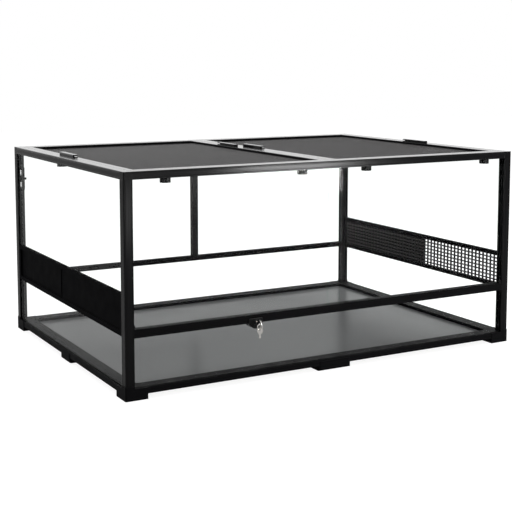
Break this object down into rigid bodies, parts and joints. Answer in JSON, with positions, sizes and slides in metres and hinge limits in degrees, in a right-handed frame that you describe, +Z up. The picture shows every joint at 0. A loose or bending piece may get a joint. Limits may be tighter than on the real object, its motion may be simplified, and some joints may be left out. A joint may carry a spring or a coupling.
{
  "type": "reptile terrarium",
  "caption": "Wide glass terrarium in a black aluminium frame with lift-off mesh lids, sliding front doors, side vent bands and a key lock.",
  "frame": {"origin": "on the shelf under the middle of the whole part, key included", "axes": "+X across the width from left to right seen from the front, +Y to the rear, +Z up; the doors face -Y"},
  "size_m": [0.9164, 0.6802, 0.431],
  "materials": {
    "black_frame": "satin black powder coat",
    "black_plastic": "moulded black plastic",
    "mesh": "coated steel mesh",
    "clear_glass": "clear tempered glass",
    "floor_glass": "grey backed tempered glass",
    "bright_steel": "nickel plated"
  },
  "bodies": {
    "cabinet": {"front_left_post": "black_frame", "front_right_post": "black_frame", "rear_left_post": "black_frame", "rear_right_post": "black_frame", "top_corners": "black_frame", "top_front_rail": "black_frame", "top_rear_rail": "black_frame", "top_left_rail": "black_frame", "top_right_rail": "black_frame", "top_centre_bar": "black_frame", "lid_ledges": "black_frame", "base_front_rail": "black_frame", "base_rear_rail": "black_frame", "base_left_rail": "black_frame", "base_right_rail": "black_frame", "corner_feet": "black_plastic", "clip_feet": "black_plastic", "corner_screws": "bright_steel", "front_crossbar": "black_frame", "rear_crossbar": "black_frame", "rear_mullion": "black_frame", "door_tracks": "black_plastic", "door_stops": "black_plastic", "floor_glass": "floor_glass", "front_lower_glass": "clear_glass", "rear_lower_glass": "clear_glass", "rear_left_glass": "clear_glass", "rear_right_glass": "clear_glass", "left_lower_glass": "clear_glass", "left_upper_glass": "clear_glass", "right_lower_glass": "clear_glass", "right_upper_glass": "clear_glass", "left_vent_frame": "black_frame", "left_vent_mesh": "mesh", "right_vent_frame": "black_frame", "right_vent_mesh": "mesh", "lock_housing": "black_plastic", "port_guides": "black_plastic"},
    "left_lid": {"left_lid_frame": "black_frame", "left_lid_mesh": "mesh", "left_lid_handles": "black_plastic"},
    "right_lid": {"right_lid_frame": "black_frame", "right_lid_mesh": "mesh", "right_lid_handles": "black_plastic"},
    "left_door": {"left_door": "clear_glass"},
    "right_door": {"right_door": "clear_glass"},
    "lock_cylinder": {"lock_cylinder": "bright_steel", "lock_key": "bright_steel"},
    "key_ring": {"key_ring": "bright_steel", "spare_key": "bright_steel"},
    "left_vent_slide": {"left_vent_slide": "black_plastic"},
    "right_vent_slide": {"right_vent_slide": "black_plastic"},
    "left_port_shutter": {"left_port_shutter": "black_plastic"},
    "right_port_shutter": {"right_port_shutter": "black_plastic"},
    "left_lid_latch_outer": {"left_lid_latch_outer": "black_plastic"},
    "left_lid_latch_inner": {"left_lid_latch_inner": "black_plastic"},
    "left_lid_latch_side": {"left_lid_latch_side": "black_plastic"},
    "right_lid_latch_inner": {"right_lid_latch_inner": "black_plastic"},
    "right_lid_latch_outer": {"right_lid_latch_outer": "black_plastic"},
    "right_lid_latch_side": {"right_lid_latch_side": "black_plastic"}
  },
  "joints": [
    {"name": "left_lid_lift", "type": "slide", "parent": "cabinet", "child": "left_lid", "axis": [0, 0, 1], "range_m": [0, 0.15]},
    {"name": "right_lid_lift", "type": "slide", "parent": "cabinet", "child": "right_lid", "axis": [0, 0, 1], "range_m": [0, 0.15]},
    {"name": "left_lid_latch_outer_turn", "type": "hinge", "parent": "left_lid", "child": "left_lid_latch_outer", "pos_m": [-0.359, -0.2821, 0.411], "axis": [0, 0, 1], "range_deg": [-90, 0]},
    {"name": "left_lid_latch_inner_turn", "type": "hinge", "parent": "left_lid", "child": "left_lid_latch_inner", "pos_m": [-0.059, -0.2821, 0.411], "axis": [0, 0, 1], "range_deg": [-90, 0]},
    {"name": "left_lid_latch_side_turn", "type": "hinge", "parent": "left_lid", "child": "left_lid_latch_side", "pos_m": [-0.423, 0.1054, 0.411], "axis": [0, 0, -1], "range_deg": [-90, 0]},
    {"name": "right_lid_latch_inner_turn", "type": "hinge", "parent": "right_lid", "child": "right_lid_latch_inner", "pos_m": [0.096, -0.2821, 0.411], "axis": [0, 0, -1], "range_deg": [-90, 0]},
    {"name": "right_lid_latch_outer_turn", "type": "hinge", "parent": "right_lid", "child": "right_lid_latch_outer", "pos_m": [0.41, -0.2821, 0.411], "axis": [0, 0, -1], "range_deg": [-90, 0]},
    {"name": "right_lid_latch_side_turn", "type": "hinge", "parent": "right_lid", "child": "right_lid_latch_side", "pos_m": [0.423, 0.1054, 0.411], "axis": [0, 0, 1], "range_deg": [-90, 0]},
    {"name": "left_door_slide", "type": "slide", "parent": "cabinet", "child": "left_door", "axis": [1, 0, 0], "range_m": [0, 0.42]},
    {"name": "right_door_slide", "type": "slide", "parent": "cabinet", "child": "right_door", "axis": [-1, 0, 0], "range_m": [0, 0.42]},
    {"name": "lock_turn", "type": "hinge", "parent": "cabinet", "child": "lock_cylinder", "pos_m": [-0.185, -0.3161, 0.118], "axis": [0, -1, 0], "range_deg": [0, 90]},
    {"name": "key_ring_swing", "type": "hinge", "parent": "lock_cylinder", "child": "key_ring", "pos_m": [-0.185, -0.3341, 0.118], "axis": [0, -1, 0], "range_deg": [-30, 30]},
    {"name": "left_port_shutter_slide", "type": "slide", "parent": "cabinet", "child": "left_port_shutter", "axis": [0, 0, 1], "range_m": [-0.014, 0.014]},
    {"name": "right_port_shutter_slide", "type": "slide", "parent": "cabinet", "child": "right_port_shutter", "axis": [0, 0, 1], "range_m": [-0.014, 0.014]},
    {"name": "left_vent_slide_travel", "type": "slide", "parent": "cabinet", "child": "left_vent_slide", "axis": [0, 1, 0], "range_m": [0, 0.273]},
    {"name": "right_vent_slide_travel", "type": "slide", "parent": "cabinet", "child": "right_vent_slide", "axis": [0, -1, 0], "range_m": [0, 0.273]}
  ]
}
